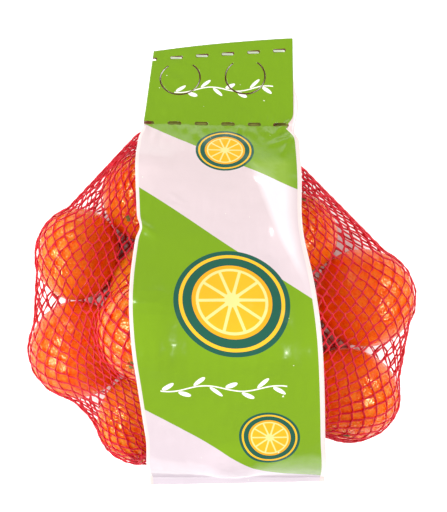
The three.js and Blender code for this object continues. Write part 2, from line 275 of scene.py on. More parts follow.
def flattened(y):
    """How far the strips have flattened out toward the seam at y, from 0 to 1."""
    return smooth((FLARE_FROM - y) / (FLARE_FROM - SEAM_Y))


def plan_middle(y):
    """Middle of the strips at y: straight from the weld, then leaning toward +X, less so at the seam."""
    below = DRIFT_FROM - y
    lean = DRIFT_SLOPE * (below + np.hypot(below, DRIFT_BLEND)) / 2
    return WELD_X + lean + FLARE_SHIFT * flattened(y)


def plan_half(y):
    """Half width of the strips at y: more below the weld and at the seam, less where they arch across."""
    half = lerp(WELD_HALF, FILM_HALF, smooth((WELD_Y - y) / WIDEN))
    return half - PINCH_DEPTH * bell(y, PINCH_Y, PINCH_SPREAD) + FLARE_WIDE * flattened(y)


def back_level(x, y):
    """Middle of the back film: flat on the table, curved up to the weld and to the seam."""
    weld = WELD_Z - WELD_TILT * (x - WELD_X) - LAYER
    up = np.clip((y - BACK_FLAT_HIGH) / (WELD_Y - BACK_FLAT_HIGH), 0, 1)
    down = np.clip((BACK_FLAT_LOW - y) / (BACK_FLAT_LOW - SEAM_Y), 0, 1)
    to_weld = (weld - BACK_LEVEL) * up**BACK_RISE_WELD
    to_seam = (SEAM_Z - LAYER - BACK_LEVEL) * down**BACK_RISE_SEAM
    return BACK_LEVEL + to_weld + to_seam


def slack_net(rows, columns):
    """A loose sleeve from the seam to the weld: its flat ends swell as a sine to clear the fruit."""
    t, a = np.meshgrid(
        np.arange(rows + 1) / rows, 2 * np.pi * np.arange(columns) / columns, indexing="ij"
    )
    swell = np.sin(np.pi * t)
    low = t < 0.5
    half = np.where(low, FOOT_RIGHT - FOOT_LEFT, NECK_RIGHT - NECK_LEFT) / 2
    middle = lerp(FOOT_LEFT + FOOT_RIGHT, NECK_LEFT + NECK_RIGHT, t) / 2
    x = middle + (half + SLACK_WIDE * swell) * np.cos(a)
    flat = np.where(low, SEAM_Z, WELD_Z - WELD_TILT * (x - WELD_X))
    tall = np.where(np.sin(a) > 0, SLACK_ABOVE, SLACK_BELOW)
    z = lerp(flat, FRUIT_RADIUS, swell) + (END_HALF + tall * swell) * np.sin(a)
    return np.stack([x, lerp(FOOT_Y, NECK_Y, t), z], axis=-1)


def finer_rows(grid):
    """A grid with a row more between each two, at their middle."""
    made = np.empty((2 * len(grid) - 1, *grid.shape[1:]))
    made[::2] = grid
    made[1::2] = (grid[:-1] + grid[1:]) / 2
    return made


def finer_round(grid):
    """A grid that closes on itself with a column more between each two, at their middle."""
    made = np.empty((grid.shape[0], 2 * grid.shape[1], *grid.shape[2:]))
    made[:, ::2] = grid
    made[:, 1::2] = (grid + np.roll(grid, -1, axis=1)) / 2
    return made


def tighten(grid, rounds):
    """Each point between the ends moves to the weighted mean of its neighbours, then clear of the pack."""
    for _ in range(rounds):
        along = (grid[:-2] + grid[2:]) / 2
        inner = grid[1:-1]
        beside = (np.roll(inner, 1, axis=1) + np.roll(inner, -1, axis=1)) / 2
        moved = clear_of_spans(clear_of_fruit(lerp(beside, along, LENGTHWISE), NET_LIFT))
        floor = back_level(moved[..., 0], moved[..., 1]) + NET_OVER_BACK
        moved[..., 2] = np.maximum(moved[..., 2], floor)
        grid[1:-1] = moved
    return grid


def taut_net():
    """The sleeve drawn tight: a loose one tightened on ever finer grids."""
    grid = tighten(slack_net(*NET_GRID), NET_ROUNDS[0])
    for rounds in NET_ROUNDS[1:]:
        grid = tighten(finer_round(finer_rows(grid)), rounds)
    return grid


def sleeve_normals(grid):
    """Directions straight out of a sleeve, across its slopes along and round it."""
    across = np.roll(grid, -1, axis=1) - np.roll(grid, 1, axis=1)
    return unit(np.cross(np.gradient(grid, axis=0), across))


def sleeve_at(grid, places):
    """Values of a sleeve's grid at places on it: turns round it, and shares along it from foot to neck.

    Past the foot it runs on straight.
    """
    rows, columns = grid.shape[:2]
    c = np.mod(places[..., 0], 1) * columns
    r = np.minimum(places[..., 1], 1) * (rows - 1)
    c0 = np.floor(c).astype(int) % columns
    r0 = np.clip(np.floor(r).astype(int), 0, rows - 2)
    fc, fr = (c - np.floor(c))[..., None], (r - r0)[..., None]
    c1 = (c0 + 1) % columns
    low = lerp(grid[r0, c0], grid[r0, c1], fc)
    return lerp(low, lerp(grid[r0 + 1, c0], grid[r0 + 1, c1], fc), fr)


def loose_panel(net, name):
    """Knots of one side before they slide, as places on the sleeve, and the width of a cell in each row.

    Rows of half cells run from the neck down. Columns are cells counted from the sleeve's outermost line,
    up over the fruit and down under it, and odd rows lie half a column on. A row's distance from the last
    follows from its width, as strands keep their length.
    """
    columns = net.shape[1]
    half = columns // 2
    first, turn = (half, -1) if name == "left" else (0, 1)
    edge = net[::-1, first]
    length = np.pad(np.cumsum(np.linalg.norm(np.diff(edge, axis=0), axis=-1)), (1, 0))
    row = np.arange(PANEL_ROWS + 1)
    share = row * CELL_LONG / 2 / length[-1]
    wide = lerp(CELL_NECK, CELL_WIDE, smooth(share / NECK_SHARE))
    down = np.pad(np.cumsum(np.sqrt(STRAND_LENGTH**2 - (wide[:-1] / 2) ** 2)), (1, 0))
    along = np.interp(down, length, np.linspace(1, 0, len(net))) - np.maximum(down / length[-1] - 1, 0)
    ring = np.clip(np.round(along * (len(net) - 1)).astype(int), 0, None)
    column = np.arange(PANEL_COLUMNS[0], PANEL_COLUMNS[1] + 1) + (row % 2)[:, None] / 2 + PANEL_PHASE
    order = (first + turn * np.arange(-half, half + 1)) % columns
    lines = net[:, order]
    out = np.pad(np.cumsum(np.linalg.norm(np.diff(lines, axis=1), axis=-1), axis=1), ((0, 0), (1, 0)))
    out = (out - out[:, half : half + 1])[ring]
    steps = np.arange(-half, half + 1)
    far = np.array([np.interp(c * w, o, steps) for c, w, o in zip(column, wide, out)])
    return np.stack([(first + turn * far) / columns, along[:, None] + 0 * far], axis=-1), wide


def slid_panel(net, places, wide, rng):
    """The knots slid over the sleeve until strands have their length and cells are about even.

    Strands pull strongest. Weaker pulls keep a cell's width and length, and draw each knot to the middle of
    its neighbours. A pull becomes a move of the place by the sleeve's slopes there.
    """
    rows, columns = net.shape[:2]
    slope_round = (np.roll(net, -1, axis=1) - np.roll(net, 1, axis=1)) * columns / 2
    slope_along = np.gradient(net, axis=0) * (rows - 1)
    shape = places.shape[:2]
    number = np.arange(shape[0] * shape[1]).reshape(shape)
    even, odd = number[:-1:2], number[1:-1:2]
    wide = wide[:, None]
    tall = 2 * np.sqrt(STRAND_LENGTH**2 - (wide[1:-1] / 2) ** 2)
    pairs = (
        (even, number[1::2][: len(even)], STRAND_LENGTH, 1.0),
        (even[:, 1:], number[1::2][: len(even), :-1], STRAND_LENGTH, 1.0),
        (odd, number[2::2][: len(odd)], STRAND_LENGTH, 1.0),
        (odd[:, :-1], number[2::2][: len(odd), 1:], STRAND_LENGTH, 1.0),
        (number[:, :-1], number[:, 1:], wide, STIFF_CELL),
        (number[:-2], number[2:], tall, STIFF_CELL),
    )
    start = np.concatenate([a.ravel() for a, _, _, _ in pairs])
    end = np.concatenate([b.ravel() for _, b, _, _ in pairs])
    rest = np.concatenate([(length + 0.0 * a).ravel() for a, _, length, _ in pairs])
    rest = rest * rng.normal(1, STRAND_SPREAD, rest.size)
    stiff = np.concatenate([np.full(a.size, share) for a, _, _, share in pairs])
    total = np.bincount(start, stiff, number.size) + np.bincount(end, stiff, number.size)
    for _ in range(PANEL_ROUNDS):
        knots = sleeve_at(net, places)
        flat = knots.reshape(-1, 3)
        run = flat[end] - flat[start]
        gap = np.linalg.norm(run, axis=-1)
        pull = (stiff * (gap - rest) / np.maximum(gap, 1e-6))[:, None] * run
        move = [np.bincount(start, f, number.size) - np.bincount(end, f, number.size) for f in pull.T]
        move = (np.stack(move, axis=-1) / total[:, None]).reshape(knots.shape)
        move[:, 1:-1] += STIFF_BEND * ((knots[:, 2:] + knots[:, :-2]) / 2 - knots[:, 1:-1])
        move[2:-2] += STIFF_BEND * ((knots[4:] + knots[:-4]) / 2 - knots[2:-2])
        move[: PANEL_HELD + 1] = 0
        turn, rise = sleeve_at(slope_round, places), sleeve_at(slope_along, places)
        tt, tr, rr = (turn**2).sum(-1), (turn * rise).sum(-1), (rise**2).sum(-1)
        mt, mr = (move * turn).sum(-1), (move * rise).sum(-1)
        area = np.maximum(tt * rr - tr**2, 1e-3 * tt * rr + 1e-9)
        step = np.stack([rr * mt - tr * mr, tt * mr - tr * mt], axis=-1) / area[..., None]
        places = places + SLIDE * np.clip(step, -np.array(SLIDE_MOST), SLIDE_MOST)
    return places


# The net of strands
def unseen(points, normals):
    """Places of the net that a strip covers: level ones well inside the outline of the strips."""
    x, y = points[..., 0], points[..., 1]
    inside = np.abs(x - plan_middle(y)) < plan_half(y) - UNSEEN_MARGIN
    return inside & (np.abs(normals[..., 2]) > UNSEEN_LEVEL)


def swept_tubes(paths, side, up, radius, sides, keep):
    """Round tubes along many paths: at each place a ring turns from the path's side to its up direction.

    keep tells which stretches between two places are made, and the ends of a run are closed by fans.
    """
    turn = 2 * np.pi * np.arange(sides) / sides
    spoke = np.cos(turn)[:, None] * side[:, :, None] + np.sin(turn)[:, None] * up[:, :, None]
    points = paths[:, :, None] + radius * spoke
    index = np.arange(points.size // 3).reshape(points.shape[:3])
    after = np.roll(index, -1, axis=2)
    quads = np.stack([index[:, :-1], after[:, :-1], after[:, 1:], index[:, 1:]], axis=-1)[keep]
    padded = np.pad(keep, ((0, 0), (1, 1)))
    firsts = index[padded[:, 1:] & ~padded[:, :-1]]
    lasts = index[~padded[:, 1:] & padded[:, :-1]]
    fans = [firsts[:, [0, k + 1, k]] for k in range(1, sides - 1)]
    fans += [lasts[:, [0, k, k + 1]] for k in range(1, sides - 1)]
    return only_used(points.reshape(-1, 3), quads.reshape(-1, 4), np.concatenate(fans))


def strand_places(panel, lean, way):
    """One family of strands, winding one way: places at even steps between knots, and which of them exist.

    From knot to knot a strand bends so that it passes each nearly along the sleeve.
    """
    rows, columns = panel.shape[:2]
    row = np.arange(rows)
    shift = row // 2 if way > 0 else -((row + 1) // 2)
    column = np.arange(-rows // 2, columns + rows // 2)[:, None] + shift
    there = (column >= 0) & (column < columns)
    column = np.clip(column, 0, columns - 1)
    knot = panel[row, column]
    slope = lerp(np.gradient(knot, axis=1), lean[row, column], CELL_ROUNDING)
    step = np.arange((rows - 1) * STRAND_STEPS + 1)
    before = np.minimum(step // STRAND_STEPS, rows - 2)
    t = (step / STRAND_STEPS - before)[:, None]
    after = before + 1
    start = (2 * t**3 - 3 * t**2 + 1) * knot[:, before] + (t**3 - 2 * t**2 + t) * slope[:, before]
    end = (3 * t**2 - 2 * t**3) * knot[:, after] + (t**3 - t**2) * slope[:, after]
    return start + end, there[:, before] & there[:, after]


def panel_lean(panel):
    """How places change from row to row down each column of knots."""
    longer = np.concatenate([2 * panel[:2] - panel[2:4], panel, 2 * panel[-2:] - panel[-4:-2]])
    return (longer[4:] - longer[:-4]) / 4


def net_side(name, net, rng, material):
    """Strands of one side: each is a pair of filaments twisted about its line, over and under at knots."""
    normals = sleeve_normals(net)
    panel = slid_panel(net, *loose_panel(net, name), rng)
    lean = panel_lean(panel)
    for way, turn_name in ((1, "up"), (-1, "down")):
        places, there = strand_places(panel, lean, way)
        line, up = sleeve_at(net, places), unit(sleeve_at(normals, places))
        ahead = unit(np.gradient(line, axis=1))
        side = unit(np.cross(up, ahead))
        up = np.cross(ahead, side)
        shown = there & (places[..., 1] > 0) & ~unseen(line, up)
        keep = shown[:, :-1] & shown[:, 1:]
        step = np.arange(line.shape[1]) / STRAND_STEPS
        over = way * WEAVE * np.cos(np.pi * step)
        phase = 2 * np.pi * (step / 2 + rng.uniform(0, 1, (len(line), 1)))
        pair = []
        for turn in (phase, phase + np.pi):
            apart = FILAMENT_APART * np.cos(turn)
            stack = FILAMENT_STACK * np.sin(turn) + over
            path = line + apart[..., None] * side + stack[..., None] * up
            pair.append(swept_tubes(path, side, up, FILAMENT_RADIUS, STRAND_SIDES, keep))
        faces = joined(pair)
        dress(make_piece(f"net_{name}_{turn_name}", *faces, [material]), "net_bag")
    return net_knots(net, panel, lean)


def joined(parts):
    """Several sets of points, quads and triangles as one."""
    starts = np.cumsum([0] + [len(part[0]) for part in parts])
    points = np.concatenate([part[0] for part in parts])
    quads = np.concatenate([part[1] + start for part, start in zip(parts, starts)])
    triangles = np.concatenate([part[2] + start for part, start in zip(parts, starts)])
    return points, quads, triangles


def net_knots(net, panel, lean):
    """The knots of one side: a low ball at each crossing, longest along the sleeve."""
    centre, up = sleeve_at(net, panel), unit(sleeve_at(sleeve_normals(net), panel))
    side = unit(np.cross(up, sleeve_at(net, panel + KNOT_STEP * lean) - centre))
    ahead = np.cross(side, up)
    shown = (panel[..., 1] > 0) & ~unseen(centre, up)
    centre, up, side, ahead = (v[shown][:, None] for v in (centre, up, side, ahead))
    polar, turn = ball_angles(*KNOT_GRID)
    ring = np.stack([np.sin(polar) * np.cos(turn), np.cos(polar), np.sin(polar) * np.sin(turn)], axis=-1)
    ball, quads, triangles = round_shell(ring, np.array([0.0, 1, 0]), np.array([0.0, -1, 0]))
    x, y, z = (ball[:, k, None] for k in range(3))
    places = centre + KNOT_WIDE * x * side + KNOT_LONG * y * ahead + KNOT_HIGH * z * up
    offset = len(ball) * np.arange(len(centre))[:, None, None]
    quads = (quads[:, ::-1] + offset).reshape(-1, 4)
    return places.reshape(-1, 3), quads, (triangles[:, ::-1] + offset).reshape(-1, 3)


def net_pieces(net, material):
    """Strands of either side as two pieces each, and all knots as one."""
    rng = np.random.default_rng(NET_SEED)
    knots = [net_side(name, net, rng, material) for name in ("left", "right")]
    dress(make_piece("net_knots", *joined(knots), [material]), "net_bag")


# The fruit
PEEL_GRID = (90, 180)
UNEVEN, UNEVEN_LENGTH, UNEVEN_WAVES, UNEVEN_SEED = 0.009, 1.9, 9, 20
PEBBLE, PEBBLE_LENGTH, PEBBLE_WAVES, PEBBLE_SEED = 0.03, 2.6, 40, 40
STEM_DENT, STEM_SPREAD = 1.5, 0.36
NAVEL_DENT, NAVEL_SPREAD = 0.9, 0.16
GROOVE, GROOVES, GROOVE_AT, GROOVE_SPREAD = 0.3, 10, 0.3, 0.2

# A direction that no stem points in, so that each fruit's sides can be set out square to it
NO_STEM_WAY = (0.31, 0.77, 0.56)


def fruit_axes(number):
    """Side, side and stem directions of one fruit as the rows of a turn."""
    stem = STEMS[number]
    side = unit(np.cross(stem, NO_STEM_WAY))
    return np.stack([side, np.cross(stem, side), stem])


def peel(way, number):
    """Place on a fruit's peel in a direction from its centre, in the fruit's own axes.

    A flattened ball, made uneven by long waves and pebbly by short ones, dented at the stem end and the
    blossom end, with shallow grooves running out from the stem.
    """
    polar = np.arccos(np.clip(way[..., 2], -1, 1))
    turn = np.arctan2(way[..., 1], way[..., 0])
    place = way * RADII[number] * np.array([1, 1, POLE_SHARE])
    relief = RADII[number] * UNEVEN * waves(way, UNEVEN_LENGTH, UNEVEN_WAVES, UNEVEN_SEED + number)
    relief += PEBBLE * waves(place, PEBBLE_LENGTH, PEBBLE_WAVES, PEBBLE_SEED + number)
    relief -= STEM_DENT * bell(polar, 0, STEM_SPREAD)
    relief -= NAVEL_DENT * bell(polar, np.pi, NAVEL_SPREAD)
    groove = bell(polar, GROOVE_AT, GROOVE_SPREAD) * np.cos(GROOVES * turn + number)
    return place + way * (np.minimum(relief, UNEVEN * RADII[number]) + GROOVE * groove)[..., None]


def clementine(number, material):
    """One fruit as rings of peel from stem end to blossom end, turned into its place."""
    polar, turn = ball_angles(*PEEL_GRID)
    way = np.stack([np.sin(polar) * np.cos(turn), np.sin(polar) * np.sin(turn), np.cos(polar)], axis=-1)
    ends = peel(np.array([[0.0, 0, 1], [0, 0, -1]]), number)
    points, quads, triangles = round_shell(peel(way, number), *ends)
    points = CENTRES[number] + points @ fruit_axes(number)
    name = f"clementine_{number + 1:02d}"
    piece = make_piece(name, points, quads[:, ::-1], triangles[:, ::-1], [material])
    dress(piece, "net_bag")


CALYX_RADIUS, CALYX_LOBES, CALYX_SIDES = 2.7, 5, 40
LOBE_INNER, LOBE_POWER = 0.55, 0.8
STUMP_HEIGHT, STUMP_SHARE, STUMP_FADE = 0.7, 0.3, 0.4

# Half section of a stem button: shares of its radius and of the stump's height, from the top out and under
CALYX_SECTION = (
    (0.0, 1.0),
    (0.16, 0.98),
    (0.3, 0.85),
    (0.36, 0.4),
    (0.44, 0.16),
    (0.6, 0.2),
    (0.8, 0.3),
    (0.95, 0.36),
    (1.0, 0.22),
    (0.96, -1.1),
)


def stem_buttons(material):
    """The dried star at each stem end: a disc with five lobes in the dent, and a stump in its middle."""
    turn = 2 * np.pi * np.arange(CALYX_SIDES) / CALYX_SIDES
    lobe = lerp(LOBE_INNER, 1, np.abs(np.cos(turn * CALYX_LOBES / 2)) ** LOBE_POWER)
    share, rise = (np.array(values)[:, None] for values in zip(*CALYX_SECTION))
    radius = CALYX_RADIUS * share * lerp(1, lobe, smooth((share - STUMP_SHARE) / STUMP_FADE))
    height = rise * STUMP_HEIGHT * np.ones_like(turn)
    parts = []
    for number in range(len(FRUIT)):
        flat = np.stack([radius * np.cos(turn), radius * np.sin(turn)], axis=-1)
        level = RADII[number] * POLE_SHARE
        way = unit(np.concatenate([flat, np.full((*radius.shape, 1), level)], axis=-1))
        on_peel = peel(way, number)
        on_peel[..., 2] += height
        low = on_peel[-1].mean(axis=0)
        points, quads, triangles = round_shell(on_peel[1:], on_peel[0, 0], low)
        points = CENTRES[number] + points @ fruit_axes(number)
        parts.append((points, quads[:, ::-1], triangles[:, ::-1]))
    dress(make_piece("stem_buttons", *joined(parts), [material]), "net_bag")


# The film strips
def header_place(s, along):
    """A place on the header: along is the distance up from the weld, s runs from -1 to 1 across."""
    share = along / HEADER_LENGTH
    slope = np.radians(HEADER_SLOPE - HEADER_TWIST * s)
    x = WELD_X + HEADER_LEAN * share + s * lerp(WELD_HALF, HEADER_HALF, share)
    z = WELD_Z - WELD_TILT * WELD_HALF * s - along * np.sin(slope)
    return np.stack([x, WELD_Y + along * np.cos(slope), z], axis=-1)


def header_rows(across):
    """Rows of the header from its top edge down to just above the weld."""
    share = 1 - np.arange(HEADER_ROWS)[:, None] / HEADER_ROWS
    full = HEADER_LENGTH + HEADER_SKEW * across + HEADER_CROWN * (1 - across**2)
    return header_place(across + 0 * share, full * share)


def flange_rows(across):
    """Rows of the flange below the bottom seam."""
    share = np.arange(1, FLANGE_ROWS + 1)[:, None] / FLANGE_ROWS
    along = (FLANGE_LENGTH + FLANGE_SKEW * across) * share
    slope = math.radians(FLANGE_SLOPE)
    x = plan_middle(SEAM_Y) + across * plan_half(SEAM_Y) + 0 * share
    return np.stack([x, SEAM_Y - along * math.cos(slope), SEAM_Z - along * math.sin(slope)], axis=-1)


def span_places(rows):
    """Places of rows from the weld to the seam, closer together toward the seam."""
    return lerp(WELD_Y, SEAM_Y, 1 - (1 - np.arange(rows + 1) / rows) ** SPAN_CROWD)


def net_tops(net):
    """Height of the net's top on a square grid over the table: the highest of a cell and its neighbours."""
    dense = finer_round(finer_rows(net)).reshape(-1, 3)
    low = dense[:, :2].min(axis=0) - TOP_MARGIN * TOP_CELL
    cell = np.floor((dense[:, :2] - low) / TOP_CELL).astype(int)
    tops = np.full(cell.max(axis=0) + TOP_MARGIN + 1, NO_TOP)
    np.maximum.at(tops, (cell[:, 0], cell[:, 1]), dense[:, 2])
    spread = np.stack([np.roll(tops, (dx, dy), (0, 1)) for dx in (-1, 0, 1) for dy in (-1, 0, 1)])
    return spread.max(axis=0), low


def top_at(tops, x, y):
    """Height of the net's top at places, in straight lines between the middles of cells."""
    height, low = tops
    place = (np.stack([x, y], axis=-1) - low) / TOP_CELL - 0.5
    first = np.clip(np.floor(place).astype(int), 0, np.array(height.shape) - 2)
    fx, fy = np.moveaxis(np.clip(place - first, 0, 1), -1, 0)
    i, j = first[..., 0], first[..., 1]
    near = lerp(height[i, j], height[i + 1, j], fx)
    far = lerp(height[i, j + 1], height[i + 1, j + 1], fx)
    return lerp(near, far, fy)


def sink_film(z, y, rest, rounds):
    """Heights of a taut strip: each place sinks to its neighbours' mean, or rests on what it meets."""
    share = ((y[:-2] - y[1:-1]) / (y[:-2] - y[2:]))[:, None]
    for _ in range(rounds):
        along = lerp(z[:-2], z[2:], share)
        wide = np.pad(z[1:-1], ((0, 0), (1, 1)), mode="edge")
        beside = (wide[:, :-2] + wide[:, 2:]) / 2
        z[1:-1] = np.maximum(lerp(along, beside, FILM_ACROSS), rest[1:-1])
    return z


def front_span(net):
    """The front strip from weld to seam, sunk on ever finer grids, with its places across."""
    tops = net_tops(net)
    rows, columns = SPAN_GRID
    z = np.full((rows + 1, columns + 1), FILM_START)
    for level, rounds in enumerate(SPAN_ROUNDS):
        if level:
            z = finer_rows(finer_rows(z).T).T
        rows, columns = z.shape[0] - 1, z.shape[1] - 1
        across = 2 * np.arange(columns + 1) / columns - 1
        y = span_places(rows)
        x = plan_middle(y)[:, None] + across * plan_half(y)[:, None]
        z[0] = header_place(across, 0 * across)[:, 2] + LAYER
        z[-1] = SEAM_Z + LAYER
        rest = top_at(tops, x, y[:, None] + 0 * x) + FILM_LIFT
        z = sink_film(z, y, rest, rounds)
    return np.stack([x, y[:, None] + 0 * x, z], axis=-1), across


def film_map(grid, across):
    """A map of the strip in shares: across it, and down it by length along its middle."""
    step = np.linalg.norm(np.diff(grid[:, grid.shape[1] // 2], axis=0), axis=-1)
    down = np.concatenate([[0], np.cumsum(step)])
    u = (across + 1) / 2 + 0 * down[:, None]
    return np.stack([u, 1 - down[:, None] / MAP_LENGTH + 0 * across], axis=-1)


def film_shell(name, grid, uv, outside, materials):
    """A strip with thickness: a skin on either side of the grid along its normals, joined round the rim.

    outside is 1 where the printed side faces up and -1 where it faces down.
    """
    normals = unit(np.cross(np.gradient(grid, axis=1), -np.gradient(grid, axis=0)))
    shift = normals * FILM_THICK / 2
    points = np.concatenate([(grid + shift).reshape(-1, 3), (grid - shift).reshape(-1, 3)])
    index = np.arange(grid.size // 3).reshape(grid.shape[:2])
    under = index.size
    top = grid_quads(index, False)[:, ::-1]
    rim = np.concatenate([index[0], index[1:, -1], index[-1, -2::-1], index[-2:0:-1, 0]])
    after = np.roll(rim, -1)
    edge = np.stack([rim, after, after + under, rim + under], axis=-1)
    quads = np.concatenate([top, top[:, ::-1] + under, edge])
    printed = (0, 1) if outside > 0 else (1, 0)
    numbers = np.repeat([printed[0], printed[1], 1], [len(top), len(top), len(edge)])
    flat = np.concatenate([uv.reshape(-1, 2)] * 2)
    none = np.zeros((0, 3), int)
    return make_piece(name, points, quads, none, materials, numbers, flat)


def upright_prism(outline, low, high):
    """A prism through the header from a closed outline seen from above, ends closed by one face each."""
    count = len(outline)
    points = np.concatenate([np.column_stack([outline, np.full(count, z)]) for z in (low, high)])
    k = np.arange(count)
    after = np.roll(k, -1)
    return points, np.stack([k, after, after + count, k + count], axis=-1), (k[::-1], k + count)


def across_at(x, along):
    """Share across the header, from -1 to 1, of a place x at a distance along it."""
    left = header_place(-1.0, along)[..., 0]
    return 2 * (x - left) / (header_place(1.0, along)[..., 0] - left) - 1


def finger_outline(x):
    """A C-shaped slit: an arc out along one radius and back along a smaller one, open at the top."""
    turn = np.radians(np.linspace(90 + FINGER_OPEN, 450 - FINGER_OPEN, ARC_POINTS))
    radius = FINGER_RADIUS + FINGER_WIDTH * np.array([[0.5], [-0.5]])
    along = FINGER_ALONG + radius * np.sin(turn)
    across = x + radius * np.cos(turn)
    y = header_place(across_at(across, along), along)[..., 1]
    return np.concatenate([np.column_stack([across[0], y[0]]), np.column_stack([across[1], y[1]])[::-1]])


def slot_outline(x, row):
    """A punched slot of a row at x: two half circles joined by straights."""
    height, tilt = row
    along = height + tilt * (x - WELD_X)
    y = header_place(across_at(x, along), along)[1]
    a = np.linspace(-np.pi / 2, np.pi / 2, SLOT_END_POINTS)
    straight = (SLOT_LENGTH - SLOT_WIDTH) / 2
    end = np.column_stack([straight + SLOT_WIDTH / 2 * np.cos(a), SLOT_WIDTH / 2 * np.sin(a)])
    return np.array([x, y]) + np.concatenate([end, -end])


def cut_header(piece, outlines):
    """Takes the upright prisms of the outlines out of a film, and leaves the cut mesh in its place."""
    mesh = bpy.data.meshes.new("cuts")
    points, faces = [], []
    for outline in outlines:
        base = sum(len(p) for p in points)
        prism, walls, ends = upright_prism(outline, *CUT_HEIGHTS)
        points.append(prism)
        faces += (walls + base).tolist() + [(end + base).tolist() for end in ends]
    mesh.from_pydata(((np.concatenate(points) - MIDDLE) * MM).tolist(), [], faces)
    cutter = bpy.data.objects.new("cuts", mesh)
    bpy.context.scene.collection.objects.link(cutter)
    modifier = piece.modifiers.new("cuts", "BOOLEAN")
    modifier.operation = "DIFFERENCE"
    modifier.solver = "MANIFOLD"
    modifier.object = cutter
    graph = bpy.context.evaluated_depsgraph_get()
    cut = bpy.data.meshes.new_from_object(piece.evaluated_get(graph))
    piece.modifiers.clear()
    piece.data = cut
    bpy.data.objects.remove(cutter)


MAP_LENGTH = 400.0
ARC_POINTS, SLOT_END_POINTS = 49, 9
CUT_HEIGHTS = (-10.0, 60.0)
BACK_SLOT_SHIFT = np.array([-0.4, -0.3])
NECK_SLOT_SHIFT = np.array([2.0, -4.0])
FINGER_FLAP = 0.25
BACK_BULGE, BULGE_UP, BULGE_SPREAD = 3.4, 14.0, 12.0

# Crinkles of the front strip: height, then length, count and seed of their waves
ROLL = (0.35, 31.0, 7, 3)
CRINKLE = (0.05, 6.5, 12, 4)
RIPPLE = (0.05, 10.5, 14, 5)
GATHER = (0.35, 9.0, 8, 6)
ROLL_IN_HEADER, CRINKLE_AT_WELD = 0.25, 0.3
CRINKLE_SQUASH, GATHER_SQUASH = (1, 0.6), (1, 0.35)
HEADER_FROM, HEADER_FADE = 8.0, 10.0
PUCKER_BELOW, PUCKER_SPREAD = 3.0, 8.0
HELD_FROM, HELD_FADE = 9.0, 6.0

# Places where an edge of the front strip is drawn in: along it, spread, reach from the edge, in, up
NOTCH_Y, NOTCH_SPREAD, NOTCH_REACH, NOTCH_IN, NOTCH_UP = 16.5, 4.5, 7.0, 2.2, 1.2
NIP_BELOW, NIP_SPREAD, NIP_REACH, NIP_IN, NIP_UP = 1.0, 5.0, 8.0, 4.6, 1.5

# Soft folds of the front strip in its plan: two ends, height, width
FOLDS = (
    ((43, 44), (42, -6), 2.2, 4.5),
    ((16, 53), (29, 42), 1.8, 3.2),
    ((27, 44), (37, 0), 3.6, 8.0),
    ((33, 78), (46, 88), 1.5, 1.6),
    ((30, 70), (45, 76), 1.5, 1.8),
    ((37, 64), (46, 82), 1.4, 1.5),
    ((-31, 36), (-22, 30), 0.6, 1.2),
    ((-34, 31), (-21, 27), 0.5, 1.2),
    ((-49, 19), (-38, 12), 1.3, 2.2),
    ((24, -2), (33, -22), 0.8, 2.5),
    ((-44, -128), (0, -128), 0.4, 1.5),
)


def ridge(x, y, fold):
    """Height of a fold: highest along the line between its ends, falling off beside it and past them."""
    (x0, y0), (x1, y1), height, width = fold
    dx, dy = x1 - x0, y1 - y0
    t = ((x - x0) * dx + (y - y0) * dy) / (dx * dx + dy * dy)
    near = np.clip(t, 0, 1)
    gap = np.hypot(x - x0 - near * dx, y - y0 - near * dy)
    return height * bell(gap, 0, width) * (0.5 + 0.5 * np.sin(np.pi * near))


def crumple(grid, s):
    """Lifts a strip by its folds, a soft roll, and finer crinkles that gather at the weld.

    A notch draws its left edge in where it is pinched, and a nip its right edge at the weld. From the weld
    up it keeps off the other strip.
    """
    x, y = grid[..., 0], grid[..., 1]
    plan = grid[..., :2]
    lift = sum(ridge(x, y, fold) for fold in FOLDS)
    header = smooth((y - WELD_Y - HEADER_FROM) / HEADER_FADE)
    weld = bell(y, WELD_Y - PUCKER_BELOW, PUCKER_SPREAD)
    lift += lerp(1, ROLL_IN_HEADER, header) * ROLL[0] * waves(plan, *ROLL[1:])
    lift += (CRINKLE[0] + CRINKLE_AT_WELD * weld) * waves(plan * CRINKLE_SQUASH, *CRINKLE[1:])
    lift += RIPPLE[0] * waves(plan, *RIPPLE[1:])
    lift += GATHER[0] * weld * waves(plan * GATHER_SQUASH, *GATHER[1:])
    notch = bell(y, NOTCH_Y, NOTCH_SPREAD) * np.exp(-(1 + s) * FILM_HALF / NOTCH_REACH)
    nip = bell(y, WELD_Y - NIP_BELOW, NIP_SPREAD) * np.exp(-(1 - s) * WELD_HALF / NIP_REACH)
    made = grid.copy()
    made[..., 0] += NOTCH_IN * notch - NIP_IN * nip
    held = smooth((y - WELD_Y + HELD_FROM) / HELD_FADE)
    lift = lerp(lift, np.maximum(lift, -LAYER / 2), held)
    made[..., 2] += lift + NOTCH_UP * notch + NIP_UP * nip
    return made


def flap_lift(grid):
    """How far the round flaps inside the finger cuts stand up from the header."""
    along = (grid[..., 1] - WELD_Y) / math.cos(math.radians(HEADER_SLOPE))
    total = np.zeros(along.shape)
    for x in FINGER_X:
        gap = np.hypot(grid[..., 0] - x, along - FINGER_ALONG)
        hinge = np.clip((FINGER_ALONG + FINGER_RADIUS - along) / (2 * FINGER_RADIUS), 0, 1)
        total += np.where(gap < FINGER_RADIUS, FINGER_FLAP * hinge, 0)
    return total


